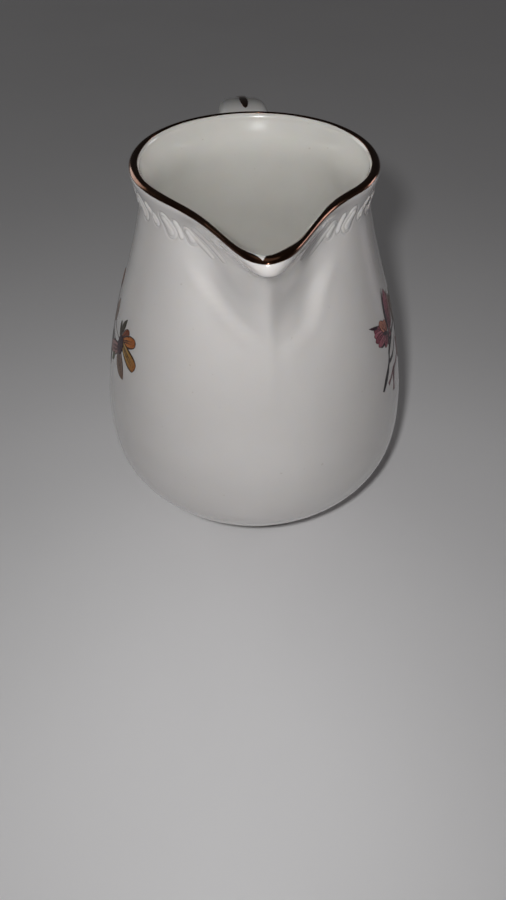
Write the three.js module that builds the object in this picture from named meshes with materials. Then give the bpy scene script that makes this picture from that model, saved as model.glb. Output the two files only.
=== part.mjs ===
import * as THREE from "three";

// A slip-cast porcelain cream jug, in millimetres, with +Z up.
// The spout points along -Y and the handle along +Y. The origin is on the surface that the jug
// stands on, under the middle of the jug's box.

// Body: heights are above the standing surface, and radii are about the jug's upright axis.
const HEIGHT = 100;
const BELLY_RADIUS = 41;
const BELLY_HEIGHT = 29;
const NECK_RADIUS = 25.8;
const NECK_HEIGHT = 93;
const RIM_RADIUS = 27.1;
const WALL = 2.8;
const LIP_WALL = 2.3;
const FLOOR_HEIGHT = 4.8;

// Foot ring, turned under the body.
const FOOT_RADIUS = 25.2;
const FOOT_WIDTH = 3.2;
const FOOT_HEIGHT = 2.4;
const FOOT_EDGE = 0.5;
const RECESS_HEIGHT = 2;

// Spout: the front of the rim is drawn forward, less and less towards SPOUT_BASE, where its
// keel has narrowed to SPOUT_KEEL of its width. Its left flank is pressed a little fuller.
const SPOUT_BASE = 71;
const SPOUT_REACH = 18;
const SPOUT_LIFT = 0.8;
const SPOUT_FADE = 1.6;
const SPOUT_HALF_ANGLE = THREE.MathUtils.degToRad(36.5);
const SPOUT_SPREAD = THREE.MathUtils.degToRad(28.5);
const SPOUT_KEEL = 0.2;
const FULLNESS = 1.15;
const FULLNESS_ANGLE = THREE.MathUtils.degToRad(-37);
const FULLNESS_SPREAD = THREE.MathUtils.degToRad(14);

// A shallow hollow on either side of the spout's keel, and the dip of the rim at the handle.
const HOLLOW_ANGLE = THREE.MathUtils.degToRad(21);
const HOLLOW_SPREAD = THREE.MathUtils.degToRad(7.5);
const HOLLOW_HEIGHT = 81;
const HOLLOW_REACH = 8.5;
const HOLLOW_DEPTH = 0.8;
const BACK_DIP = 0.8;

// Handle: widths run across the jug, and depths run from the finger side to the ridge.
// It is luted on by eye, a touch off the line of the spout.
const HANDLE_TOP_WIDTH = 13.6;
const HANDLE_ROOT_WIDTH = 12.4;
const HANDLE_WIDTH = 9.4;
const HANDLE_TOP_FADE = 0.28;
const HANDLE_ROOT_DEPTH = 8.6;
const HANDLE_DEPTH = 7.2;
const HANDLE_FLARE = 0.1;
const RIDGE_SHARE = 0.55;
const RIDGE_FALL = 0.11;
const HANDLE_TURN = THREE.MathUtils.degToRad(1.2);

// Luting slip between the handle's ends and the wall.
const SLIP_GAP = 0.3;
const SLIP_THICKNESS = 0.9;
const SLIP_SPREAD = 1.16;

// Gold and printed colour are far thinner than this on a real jug.
const FILM_GAP = 0.22;
const FILM_THICKNESS = 0.25;
const STRIPE_WIDTH = 2.2;
const SPRAY_WIDTH = 48;
const SPRAY_HEIGHT = 30;
const SPRAY_CENTRE = 59.5;

// How finely the shapes are divided. The wall's rows are closer together towards the neck.
const ROUND_STEPS = 60;
const FRONT_CROWDING = 0.55;
const WALL_STEPS = 26;
const BOWL_STEPS = 18;
const NECK_CROWDING = 1.3;
const LIP_STEPS = 6;
const HANDLE_STEPS = 30;
const SECTION_STEPS = 16;

// The outer wall's stations, as [height, radius], from the top of the foot to under the lip.
const STATIONS = [
  [FOOT_HEIGHT, FOOT_RADIUS + 0.4],
  [8, 29.2],
  [13, 33.8],
  [18, 38],
  [23, 40.3],
  [BELLY_HEIGHT, BELLY_RADIUS],
  [36, 40.6],
  [42, 39.8],
  [54, 37.2],
  [66.5, 33.6],
  [78, 29.6],
  [87, 26.9],
  [NECK_HEIGHT, NECK_RADIUS],
  [HEIGHT - 1.6, RIM_RADIUS - 0.05],
];
const LIP_RADIUS = LIP_WALL / 2;
const LIP_CENTRE = new THREE.Vector2(RIM_RADIUS - LIP_RADIUS, HEIGHT - LIP_RADIUS);
const LIP_OPENING = THREE.MathUtils.degToRad(20);

const ACROSS = new THREE.Vector3(1, 0, 0);

// A smooth curve through [place, value] stations, with the mean slope at each inner station.
function smoothCurve(stations) {
  const slopeBetween = (a, b) => (b[1] - a[1]) / (b[0] - a[0]);
  const slopes = stations.map((station, i) => {
    const before = stations[Math.max(i - 1, 0)];
    const after = stations[Math.min(i + 1, stations.length - 1)];
    return slopeBetween(before, after);
  });
  return (place) => {
    let i = 0;
    while (i < stations.length - 2 && place > stations[i + 1][0]) i += 1;
    const [from, to] = [stations[i], stations[i + 1]];
    const span = to[0] - from[0];
    const t = (place - from[0]) / span;
    const ease = t * t * (3 - 2 * t);
    const leave = t * (1 - t) * (1 - t) * span * slopes[i];
    const arrive = t * t * (t - 1) * span * slopes[i + 1];
    return from[1] + (to[1] - from[1]) * ease + leave + arrive;
  };
}

const outerRadius = smoothCurve(STATIONS);

function innerRadius(height) {
  const nearLip = THREE.MathUtils.smoothstep(height, NECK_HEIGHT - 15, HEIGHT);
  const wall = THREE.MathUtils.lerp(WALL, LIP_WALL, nearLip);
  const slope = outerRadius(height + 0.5) - outerRadius(height - 0.5);
  return outerRadius(height) - wall * Math.hypot(1, Math.min(slope, 1));
}

// Points along a lip-shaped arc about the lip's centre, outside first.
function lipArc(radius, opening, steps) {
  const points = [];
  for (let i = 0; i <= steps; i += 1) {
    const turn = THREE.MathUtils.lerp(opening, Math.PI - opening, i / steps);
    const reach = new THREE.Vector2(Math.cos(turn), Math.sin(turn)).multiplyScalar(radius);
    points.push(reach.add(LIP_CENTRE));
  }
  return points;
}

// Draws the front of the rim forward into the spout, and lowers the back of the rim a little.
// It acts on the jug's own frame.
function drawSpout(point) {
  const share = THREE.MathUtils.clamp((point.z - SPOUT_BASE) / (HEIGHT - SPOUT_BASE), 0, 1);
  const angle = Math.atan2(point.x, -point.y);
  const narrowed = angle / THREE.MathUtils.lerp(SPOUT_KEEL, 1, share);
  const bell = Math.exp(-((narrowed / SPOUT_SPREAD) ** 2));
  const drawn = SPOUT_REACH * (1 - (narrowed / SPOUT_HALF_ANGLE) ** 2) * bell;
  const pressed = FULLNESS * Math.exp(-(((angle - FULLNESS_ANGLE) / FULLNESS_SPREAD) ** 2));
  const beside = Math.exp(-(((Math.abs(angle) - HOLLOW_ANGLE) / HOLLOW_SPREAD) ** 2));
  const level = Math.exp(-(((point.z - HOLLOW_HEIGHT) / HOLLOW_REACH) ** 2));
  const towardsHandle = (1 - Math.cos(angle)) / 2;
  point.y += HOLLOW_DEPTH * beside * level - share ** SPOUT_FADE * (drawn + pressed);
  point.z += share ** 3 * (SPOUT_LIFT * bell - BACK_DIP * towardsHandle ** 2);
  return point;
}

// Turns a profile of Vector2(radius, height) about the axis and draws its spout.
// The turning steps are closer together at the front, where the spout bends sharply.
function turned(profile) {
  const geometry = new THREE.LatheGeometry(profile, ROUND_STEPS);
  geometry.rotateX(Math.PI / 2);
  const position = geometry.getAttribute("position");
  const point = new THREE.Vector3();
  for (let i = 0; i < position.count; i += 1) {
    point.fromBufferAttribute(position, i);
    const radius = Math.hypot(point.x, point.y);
    const even = Math.atan2(point.x, -point.y);
    const angle = even - FRONT_CROWDING * Math.sin(even);
    point.set(radius * Math.sin(angle), -radius * Math.cos(angle), point.z);
    drawSpout(point);
    position.setXYZ(i, point.x, point.y, point.z);
  }
  geometry.computeVertexNormals();
  return geometry;
}

// Six times the volume that a closed surface holds, negative if its faces point inwards.
function signedVolume(points, faces) {
  let volume = 0;
  for (let i = 0; i < faces.length; i += 3) {
    const [a, b, c] = [points[faces[i]], points[faces[i + 1]], points[faces[i + 2]]];
    volume += a.dot(new THREE.Vector3().crossVectors(b, c));
  }
  return volume;
}

// A closed skin over a row of rings with equal numbers of points. The first and the last ring
// are shrunk to single points.
function skin(rings) {
  const count = rings[0].length;
  const points = rings.flat();
  const faces = [];
  for (let row = 0; row < rings.length - 1; row += 1) {
    for (let i = 0; i < count; i += 1) {
      const [a, b] = [row * count + i, row * count + ((i + 1) % count)];
      const [c, d] = [a + count, b + count];
      if (row > 0) faces.push(a, b, c);
      if (row < rings.length - 2) faces.push(b, d, c);
    }
  }
  if (signedVolume(points, faces) < 0) faces.reverse();
  const geometry = new THREE.BufferGeometry().setFromPoints(points);
  geometry.setIndex(faces);
  geometry.computeVertexNormals();
  return geometry;
}

function material(color, roughness, metalness) {
  return new THREE.MeshStandardMaterial({ color, roughness, metalness });
}

const porcelain = () => material(0xe9e6df, 0.14, 0);
const gold = () => material(0x9a6a2c, 0.22, 1);
const colours = () => material(0x8d4a34, 0.3, 0);

function mesh(name, geometry, finish) {
  const made = new THREE.Mesh(geometry, finish);
  made.name = name;
  return made;
}

// ---- Body: foot ring, pear-shaped wall, lip, spout and floor in one casting ----

function bodyProfile() {
  const footInside = FOOT_RADIUS - FOOT_WIDTH;
  const points = [
    new THREE.Vector2(0, RECESS_HEIGHT),
    new THREE.Vector2(footInside - 1.5, RECESS_HEIGHT),
    new THREE.Vector2(footInside - FOOT_EDGE, RECESS_HEIGHT - 1),
    new THREE.Vector2(footInside, 0),
    new THREE.Vector2(FOOT_RADIUS - FOOT_EDGE, 0),
    new THREE.Vector2(FOOT_RADIUS, FOOT_EDGE),
  ];
  const wallTop = STATIONS.at(-1)[0];
  for (let i = WALL_STEPS; i >= 0; i -= 1) {
    const height = THREE.MathUtils.lerp(wallTop, FOOT_HEIGHT, (i / WALL_STEPS) ** NECK_CROWDING);
    points.push(new THREE.Vector2(outerRadius(height), height));
  }
  points.push(...lipArc(LIP_RADIUS, 0, LIP_STEPS));
  const bowlBase = FLOOR_HEIGHT + 3;
  for (let i = 0; i <= BOWL_STEPS; i += 1) {
    const height = THREE.MathUtils.lerp(wallTop, bowlBase, (i / BOWL_STEPS) ** NECK_CROWDING);
    points.push(new THREE.Vector2(innerRadius(height), height));
  }
  const corner = innerRadius(bowlBase);
  points.push(new THREE.Vector2(corner - 1.8, FLOOR_HEIGHT + 1.4));
  points.push(new THREE.Vector2(corner - 5, FLOOR_HEIGHT + 0.4));
  points.push(new THREE.Vector2(corner - 10, FLOOR_HEIGHT));
  points.push(new THREE.Vector2(0, FLOOR_HEIGHT));
  return points;
}

const body = mesh("body", turned(bodyProfile()), porcelain());

// ---- Rim gilding: a band over the crown of the lip, and round the spout ----

function rimGildingProfile() {
  const inside = lipArc(LIP_RADIUS + FILM_GAP, LIP_OPENING, LIP_STEPS - 1);
  const outside = lipArc(LIP_RADIUS + FILM_GAP + FILM_THICKNESS, LIP_OPENING, LIP_STEPS - 1);
  return [...outside, ...inside.reverse(), outside[0]];
}

const rimGilding = mesh("rim_gilding", turned(rimGildingProfile()), gold());

// ---- Handle: an ear-shaped loop with a soft ridge along its back ----

const handlePath = new THREE.CatmullRomCurve3(
  [
    [25, 90.3],
    [33, 93.4],
    [40, 93.2],
    [49.5, 89.9],
    [58.5, 82.9],
    [63.8, 73.5],
    [64.6, 62],
    [60.6, 51],
    [52.5, 42.2],
    [39, 32.5],
  ].map(([y, z]) => new THREE.Vector3(0, y, z)),
  false,
  "centripetal",
);

// The share of the path that lies in the open, between the two places where it meets the wall.
const HANDLE_START = 0.02;
const HANDLE_END = 0.975;

// 1 at either root of the handle, fading to 0 along it.
function rootFlare(t) {
  return Math.exp(-t / HANDLE_FLARE) + Math.exp(-(1 - t) / HANDLE_FLARE);
}

// The width falls from the broad top of the handle, and swells again where it joins the belly.
function handleWidth(t) {
  const top = (HANDLE_TOP_WIDTH - HANDLE_WIDTH) * Math.exp(-((t / HANDLE_TOP_FADE) ** 2));
  const foot = (HANDLE_ROOT_WIDTH - HANDLE_WIDTH) * Math.exp(-(1 - t) / HANDLE_FLARE);
  return HANDLE_WIDTH + top + foot;
}

// The handle's centre, outward direction, width and depth, at a share t of its length.
function handleFrame(t) {
  const at = THREE.MathUtils.lerp(HANDLE_START, HANDLE_END, t);
  const along = handlePath.getTangentAt(at);
  return {
    centre: handlePath.getPointAt(at),
    along,
    out: new THREE.Vector3().crossVectors(ACROSS, along),
    width: handleWidth(t),
    depth: THREE.MathUtils.lerp(HANDLE_DEPTH, HANDLE_ROOT_DEPTH, rootFlare(t)),
  };
}

// How far the handle's back stands out from its centre, at a share of its half width: two nearly
// flat slopes from a soft ridge, with rounded edges.
function ridgeHeight(frame, side) {
  const slope = 1 - RIDGE_FALL * Math.hypot(side, 0.05);
  return RIDGE_SHARE * frame.depth * slope * Math.pow(1 - Math.abs(side) ** 5, 0.46);
}

function sectionPoint(frame, turn, scale = 1) {
  const side = Math.cos(turn);
  const inner = (1 - RIDGE_SHARE) * frame.depth * Math.sin(turn);
  const rise = Math.sin(turn) > 0 ? ridgeHeight(frame, side) : inner;
  return frame.centre
    .clone()
    .addScaledVector(ACROSS, side * frame.width * 0.5 * scale)
    .addScaledVector(frame.out, rise * scale);
}

function section(frame, scale = 1) {
  const points = [];
  for (let i = 0; i < SECTION_STEPS; i += 1) {
    points.push(sectionPoint(frame, (i / SECTION_STEPS) * 2 * Math.PI, scale));
  }
  return points;
}

// Slides a point along a direction until it is a given gap outside the round wall.
function meetWall(point, direction, gap) {
  const clearance = (distance) => {
    const p = point.clone().addScaledVector(direction, distance);
    return Math.hypot(p.x, p.y) - outerRadius(p.z) - gap;
  };
  let [near, far] = [-12, 12];
  for (let i = 0; i < 40; i += 1) {
    const middle = (near + far) / 2;
    if (clearance(middle) > 0) near = middle;
    else far = middle;
  }
  return point.clone().addScaledVector(direction, near);
}

// Both roots: the frame of the handle's end and the way from it into the wall.
const roots = {
  upper: { frame: handleFrame(0), inward: handleFrame(0).along.clone().negate() },
  lower: { frame: handleFrame(1), inward: handleFrame(1).along.clone() },
};

// A ring on the wall in the shape of the handle's section, at a scale and a gap to the wall.
function rootRing(root, scale, gap) {
  return section(root.frame, scale).map((point) => meetWall(point, root.inward, gap));
}

const HANDLE_GAP = SLIP_GAP + SLIP_THICKNESS + SLIP_GAP;
const END_SCALES = [0, 0.35, 0.7, 1];

function handleRings() {
  const rings = END_SCALES.map((scale) => rootRing(roots.upper, scale, HANDLE_GAP));
  for (let i = 2; i < HANDLE_STEPS - 1; i += 1) {
    rings.push(section(handleFrame(i / HANDLE_STEPS)));
  }
  rings.push(...END_SCALES.map((scale) => rootRing(roots.lower, scale, HANDLE_GAP)).reverse());
  return rings;
}

const handle = mesh("handle", skin(handleRings()), porcelain());

// ---- Luting slip: the pad of clay that joins each end of the handle to the wall ----

function slipRings(root) {
  const wallSide = [0, 0.35, 0.7, SLIP_SPREAD];
  const handleSide = [1, 0.7, 0.35, 0];
  return [
    ...wallSide.map((scale) => rootRing(root, scale, SLIP_GAP)),
    rootRing(root, SLIP_SPREAD * 0.99, SLIP_GAP + SLIP_THICKNESS * 0.45),
    ...handleSide.map((scale) => rootRing(root, scale, SLIP_GAP + SLIP_THICKNESS)),
  ];
}

const slips = Object.entries(roots).map(([place, root]) =>
  mesh(`handle_slip_${place}`, skin(slipRings(root)), porcelain()),
);

// ---- Handle gilding: a stripe along the ridge, with tapered ends ----

const STRIPE_START = 0.075;
const STRIPE_END = 0.9;
const STRIPE_STEPS = 30;

function stripeRing(t, halfWidth) {
  const frame = handleFrame(t);
  const at = (x, film) => {
    const rise = ridgeHeight(frame, x / (frame.width / 2)) + FILM_GAP + film;
    return frame.centre.clone().addScaledVector(ACROSS, x).addScaledVector(frame.out, rise);
  };
  const places = [1, 0.5, 0, -0.5, -1].map((share) => share * halfWidth);
  const over = places.map((x) => at(x, FILM_THICKNESS));
  const under = places.map((x) => at(x, 0)).reverse();
  return [...over, ...under];
}

function stripeRings() {
  const rings = [];
  for (let i = 0; i <= STRIPE_STEPS; i += 1) {
    const share = i / STRIPE_STEPS;
    const taper = Math.pow(1 - (2 * share - 1) ** 8, 0.5);
    const t = THREE.MathUtils.lerp(STRIPE_START, STRIPE_END, share);
    rings.push(stripeRing(t, Math.max(taper, 0.25) * STRIPE_WIDTH * 0.5));
  }
  return [closedEnd(rings[0]), ...rings, closedEnd(rings.at(-1))];
}

// A ring shrunk to its own middle, which closes the end of a skin.
function closedEnd(ring) {
  const middle = new THREE.Vector3();
  ring.forEach((point) => middle.addScaledVector(point, 1 / ring.length));
  return ring.map(() => middle);
}

const handleGilding = mesh("handle_gilding", skin(stripeRings()), gold());

// ---- Flower transfers: one printed spray on each flank, as a patch that follows the wall ----

function sprayPoint(side, across, height, gap) {
  const radius = outerRadius(height);
  const angle = side * (Math.PI / 2) + across / radius;
  const reach = radius + gap;
  return new THREE.Vector3(reach * Math.sin(angle), -reach * Math.cos(angle), height);
}

function sprayRing(side, scale, gap) {
  const points = [];
  const count = 24;
  for (let i = 0; i < count; i += 1) {
    const turn = (i / count) * 2 * Math.PI;
    const across = Math.cos(turn) * SPRAY_WIDTH * 0.5 * scale;
    const height = SPRAY_CENTRE + Math.sin(turn) * SPRAY_HEIGHT * 0.5 * scale;
    points.push(sprayPoint(side, across, height, gap));
  }
  return points;
}

function sprayRings(side) {
  const scales = [0, 0.2, 0.4, 0.6, 0.8, 1];
  const back = scales.map((scale) => sprayRing(side, scale, FILM_GAP));
  const face = scales.map((scale) => sprayRing(side, scale, FILM_GAP + FILM_THICKNESS));
  return [...back, ...face.reverse()];
}

const transfers = [
  mesh("flower_transfer_left", skin(sprayRings(-1)), colours()),
  mesh("flower_transfer_right", skin(sprayRings(1)), colours()),
];

// ---- Assembly ----

const handleGroup = new THREE.Group();
handleGroup.add(handle, ...slips, handleGilding);
handleGroup.rotation.z = HANDLE_TURN;

const jug = new THREE.Group();
jug.add(body, rimGilding, handleGroup, ...transfers);
const box = new THREE.Box3().setFromObject(jug, true);
jug.position.y = -(box.min.y + box.max.y) / 2;

export default jug;
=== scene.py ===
import math

import bmesh
import bpy
import numpy as np
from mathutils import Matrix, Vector


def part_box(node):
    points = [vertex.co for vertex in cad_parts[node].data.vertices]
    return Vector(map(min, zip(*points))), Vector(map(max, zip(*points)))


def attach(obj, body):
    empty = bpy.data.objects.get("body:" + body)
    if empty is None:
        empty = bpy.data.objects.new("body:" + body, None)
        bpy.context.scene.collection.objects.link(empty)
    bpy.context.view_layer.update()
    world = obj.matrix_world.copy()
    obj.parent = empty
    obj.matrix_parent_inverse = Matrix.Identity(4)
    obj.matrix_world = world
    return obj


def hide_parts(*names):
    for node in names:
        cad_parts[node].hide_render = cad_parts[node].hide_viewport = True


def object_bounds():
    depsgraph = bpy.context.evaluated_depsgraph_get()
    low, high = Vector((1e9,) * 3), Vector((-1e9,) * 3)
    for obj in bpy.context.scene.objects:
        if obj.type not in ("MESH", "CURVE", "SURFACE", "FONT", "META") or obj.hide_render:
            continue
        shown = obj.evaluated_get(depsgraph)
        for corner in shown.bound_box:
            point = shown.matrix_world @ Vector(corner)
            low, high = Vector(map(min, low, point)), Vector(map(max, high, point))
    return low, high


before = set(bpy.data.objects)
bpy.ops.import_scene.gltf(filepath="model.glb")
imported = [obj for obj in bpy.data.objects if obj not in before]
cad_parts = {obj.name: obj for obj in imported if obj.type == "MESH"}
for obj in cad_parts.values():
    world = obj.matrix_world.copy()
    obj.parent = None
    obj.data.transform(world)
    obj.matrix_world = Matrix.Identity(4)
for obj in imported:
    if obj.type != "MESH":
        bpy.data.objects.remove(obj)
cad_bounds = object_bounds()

MM = 0.001

# ---------------------------------------------------------------------------------------------
# The jug's shape, in millimetres about its own upright axis. Angles are measured from the spout,
# positive towards +X. These are the CAD part's driving dimensions.
# ---------------------------------------------------------------------------------------------

HEIGHT = 100.0
BELLY_RADIUS = 41.0
NECK_RADIUS = 25.8
NECK_HEIGHT = 93.0
THINNING_HEIGHT = NECK_HEIGHT - 15
RIM_RADIUS = 27.1
WALL = 2.8
LIP_WALL = 2.3
LIP_RADIUS = LIP_WALL / 2
LIP_MIDDLE = RIM_RADIUS - LIP_RADIUS
FLOOR_HEIGHT = 4.8
FOOT_RADIUS = 25.2
FOOT_INSIDE = 22.0
FOOT_HEIGHT = 2.4
RECESS_HEIGHT = 2.0
WALL_TOP = HEIGHT - 1.6

SPOUT_BASE = 71.0
SPOUT_REACH = 18.0
SPOUT_LIFT = 0.8
SPOUT_FADE = 1.6
SPOUT_HALF_ANGLE = math.radians(36.5)
SPOUT_SPREAD = math.radians(28.5)
SPOUT_KEEL = 0.2
FULLNESS = 1.15
FULLNESS_ANGLE = math.radians(-37)
FULLNESS_SPREAD = math.radians(14)
HOLLOW_ANGLE = math.radians(21)
HOLLOW_SPREAD = math.radians(7.5)
HOLLOW_HEIGHT = 81.0
HOLLOW_REACH = 8.5
HOLLOW_DEPTH = 0.8
BACK_DIP = 0.8

HANDLE_TOP_WIDTH = 13.6
HANDLE_ROOT_WIDTH = 12.4
HANDLE_WIDTH = 9.4
HANDLE_TOP_FADE = 0.28
HANDLE_ROOT_DEPTH = 8.6
HANDLE_DEPTH = 7.2
HANDLE_FLARE = 0.1
RIDGE_SHARE = 0.55
RIDGE_FALL = 0.11
HANDLE_TURN = math.radians(1.2)
HANDLE_START = 0.02
HANDLE_END = 0.975

# The wall's outside, as (height, radius).
STATIONS = [
    (FOOT_HEIGHT, FOOT_RADIUS + 0.4),
    (8, 29.2),
    (13, 33.8),
    (18, 38),
    (23, 40.3),
    (29, BELLY_RADIUS),
    (36, 40.6),
    (42, 39.8),
    (54, 37.2),
    (66.5, 33.6),
    (78, 29.6),
    (87, 26.9),
    (NECK_HEIGHT, NECK_RADIUS),
    (WALL_TOP, RIM_RADIUS - 0.05),
]

# The middle of the handle, as (distance from the axis, height).
HANDLE_PATH = [
    (25, 90.3),
    (33, 93.4),
    (40, 93.2),
    (49.5, 89.9),
    (58.5, 82.9),
    (63.8, 73.5),
    (64.6, 62),
    (60.6, 51),
    (52.5, 42.2),
    (39, 32.5),
]

body_low, body_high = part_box("body")
AXIS_Y = body_high.y / MM - BELLY_RADIUS
BASE_Z = body_low.z / MM


# ---------------------------------------------------------------------------------------------
# Curves and the spout
# ---------------------------------------------------------------------------------------------


def smooth_curve(stations):
    """A smooth function through (place, value) stations, with the mean slope at each inner one."""
    places = np.array([s[0] for s in stations], float)
    values = np.array([s[1] for s in stations], float)
    last = len(stations) - 1
    slopes = [
        (values[min(i + 1, last)] - values[max(i - 1, 0)])
        / (places[min(i + 1, last)] - places[max(i - 1, 0)])
        for i in range(len(stations))
    ]
    slopes = np.array(slopes)

    def curve(place):
        place = np.asarray(place, float)
        i = np.clip(np.searchsorted(places, place, side="left") - 1, 0, last - 1)
        span = places[i + 1] - places[i]
        t = (place - places[i]) / span
        ease = t * t * (3 - 2 * t)
        leave = t * (1 - t) ** 2 * span * slopes[i]
        arrive = t * t * (t - 1) * span * slopes[i + 1]
        return values[i] + (values[i + 1] - values[i]) * ease + leave + arrive

    return curve


def smoothstep(x, low, high):
    """0 up to low, 1 from high on, and an even ease between them."""
    t = np.clip((np.asarray(x, float) - low) / (high - low), 0, 1)
    return t * t * (3 - 2 * t)


def swell(x, middle, spread):
    """1 at the middle, falling smoothly to nothing some way past the spread."""
    return np.exp(-(((x - middle) / spread) ** 2))


outer_radius = smooth_curve(STATIONS)


def inner_radius(height):
    """The wall's inside: its thickness is measured square to the wall, and thins to the lip."""
    wall = WALL + (LIP_WALL - WALL) * smoothstep(height, THINNING_HEIGHT, HEIGHT)
    slope = outer_radius(height + 0.5) - outer_radius(height - 0.5)
    return outer_radius(height) - wall * np.hypot(1, np.minimum(slope, 1))


def spout_bell(angle, height):
    """The share of the spout's height reached, and the bells that the spout is drawn with."""
    share = np.clip((height - SPOUT_BASE) / (HEIGHT - SPOUT_BASE), 0, 1)
    narrowed = angle / (SPOUT_KEEL + (1 - SPOUT_KEEL) * share)
    bell = swell(narrowed, 0, SPOUT_SPREAD)
    return share, bell, (1 - (narrowed / SPOUT_HALF_ANGLE) ** 2) * bell


def forward_draw(angle, height):
    """How far the wall is drawn forward at each angle and height."""
    share, _, drawn = spout_bell(angle, height)
    pressed = FULLNESS * swell(angle, FULLNESS_ANGLE, FULLNESS_SPREAD)
    return share**SPOUT_FADE * (SPOUT_REACH * drawn + pressed)


def draw_spout(points):
    """Draws the front of the rim out into the spout and dips its back. points is (..., 3)."""
    angle = np.arctan2(points[..., 0], -points[..., 1])
    share, bell, _ = spout_bell(angle, points[..., 2])
    beside = swell(np.abs(angle), HOLLOW_ANGLE, HOLLOW_SPREAD)
    level = swell(points[..., 2], HOLLOW_HEIGHT, HOLLOW_REACH)
    towards_handle = (1 - np.cos(angle)) / 2
    moved = points.copy()
    moved[..., 1] += HOLLOW_DEPTH * beside * level - forward_draw(angle, points[..., 2])
    moved[..., 2] += share**3 * (SPOUT_LIFT * bell - BACK_DIP * towards_handle**2)
    return moved


# ---------------------------------------------------------------------------------------------
# Mesh helpers
# ---------------------------------------------------------------------------------------------


def on_round(radius, angle, height):
    """Points at radius, angle from the spout and height, broadcast together, before the spout."""
    radius, angle, height = np.broadcast_arrays(radius, angle, height)
    return np.stack([radius * np.sin(angle), -radius * np.cos(angle), height], -1)


def ring_faces(rings, count):
    """Quads between each ring of count points and the next."""
    r, c = np.meshgrid(np.arange(rings - 1), np.arange(count), indexing="ij")
    right = (c + 1) % count
    quads = [r * count + c, r * count + right, (r + 1) * count + right, (r + 1) * count + c]
    return np.stack(quads, -1).reshape(-1, 4).tolist()


def tube_faces(rings, count):
    """Quads between rings of count points, and a polygon over the first and the last ring."""
    ends = [list(range(count)), list(range((rings - 1) * count, rings * count))]
    return ring_faces(rings, count) + ends


def to_row(points):
    """From millimetres about the jug's axis to metres in the row frame."""
    placed = np.asarray(points, float).reshape(-1, 3) + (0, AXIS_Y, BASE_Z)
    return placed * MM


def make_piece(name, points, faces, materials, replaces, face_materials=None, uvs=None):
    """A smooth mesh object that rides on the jug. points are millimetres about its axis."""
    mesh = bpy.data.meshes.new(name)
    mesh.from_pydata(to_row(points).tolist(), [], faces)
    if uvs is not None:
        layer = mesh.uv_layers.new(name="UVMap")
        corners = np.zeros(len(mesh.loops), np.int32)
        mesh.loops.foreach_get("vertex_index", corners)
        layer.data.foreach_set("uv", np.asarray(uvs, np.float32)[corners].ravel())
    for material in materials:
        mesh.materials.append(material)
    if face_materials is not None:
        mesh.polygons.foreach_set("material_index", np.asarray(face_materials, np.int32))
    shaped = bmesh.new()
    shaped.from_mesh(mesh)
    bmesh.ops.remove_doubles(shaped, verts=shaped.verts, dist=1e-7)
    bmesh.ops.recalc_face_normals(shaped, faces=shaped.faces)
    shaped.to_mesh(mesh)
    shaped.free()
    mesh.shade_smooth()
    piece = bpy.data.objects.new(name, mesh)
    bpy.context.scene.collection.objects.link(piece)
    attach(piece, "root")
    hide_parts(*replaces)


# ---------------------------------------------------------------------------------------------
# Materials. Object coordinates are in metres in the row frame.
# ---------------------------------------------------------------------------------------------


class Nodes:
    """Short ways to build one material's node tree."""

    def __init__(self, name):
        self.material = bpy.data.materials.new(name)
        self.material.use_nodes = True
        self.tree = self.material.node_tree
        self.tree.nodes.clear()
        self.output = self.add("ShaderNodeOutputMaterial")
        self.shader = self.add("ShaderNodeBsdfPrincipled")
        self.link(self.shader.outputs["BSDF"], self.output.inputs["Surface"])

    def add(self, kind, **settings):
        node = self.tree.nodes.new(kind)
        for key, value in settings.items():
            setattr(node, key, value)
        return node

    def link(self, a, b):
        self.tree.links.new(a, b)

    def put(self, node, socket, value):
        if isinstance(value, bpy.types.NodeSocket):
            self.link(value, node.inputs[socket])
        else:
            node.inputs[socket].default_value = value

    def noise(self, coordinate, scale, detail=2.0, roughness=0.5, distortion=0.0):
        node = self.add("ShaderNodeTexNoise")
        self.put(node, "Vector", coordinate)
        self.put(node, "Scale", scale)
        self.put(node, "Detail", detail)
        self.put(node, "Roughness", roughness)
        self.put(node, "Distortion", distortion)
        return node.outputs["Fac"]

    def ramp(self, value, stops):
        node = self.add("ShaderNodeValToRGB")
        self.put(node, "Fac", value)
        elements = node.color_ramp.elements
        while len(elements) > 1:
            elements.remove(elements[-1])
        elements[0].position, elements[0].color = stops[0]
        for place, tone in stops[1:]:
            elements.new(place).color = tone
        return node.outputs["Color"]

    def math(self, operation, a, b=0.0, clamp=False):
        node = self.add("ShaderNodeMath", operation=operation, use_clamp=clamp)
        self.put(node, 0, a)
        self.put(node, 1, b)
        return node.outputs[0]

    def mix(self, share, a, b):
        node = self.add("ShaderNodeMix", data_type="RGBA")
        self.put(node, 0, share)
        self.put(node, 6, a)
        self.put(node, 7, b)
        return node.outputs[2]

    def between(self, value, low, high, to_low=0.0, to_high=1.0):
        node = self.add("ShaderNodeMapRange")
        self.put(node, "Value", value)
        self.put(node, "From Min", low)
        self.put(node, "From Max", high)
        self.put(node, "To Min", to_low)
        self.put(node, "To Max", to_high)
        return node.outputs["Result"]

    def bump(self, height, distance, onto=None):
        node = self.add("ShaderNodeBump")
        self.put(node, "Height", height)
        self.put(node, "Distance", distance)
        self.put(node, "Strength", 1.0)
        if onto is not None:
            self.link(onto, node.inputs["Normal"])
        return node.outputs["Normal"]

    def object_place(self):
        node = self.add("ShaderNodeTexCoord")
        return node.outputs["Object"]

    def height(self, place):
        node = self.add("ShaderNodeSeparateXYZ")
        self.link(place, node.inputs[0])
        return node.outputs["Z"]


def colour(r, g, b):
    return (r, g, b, 1)


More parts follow.
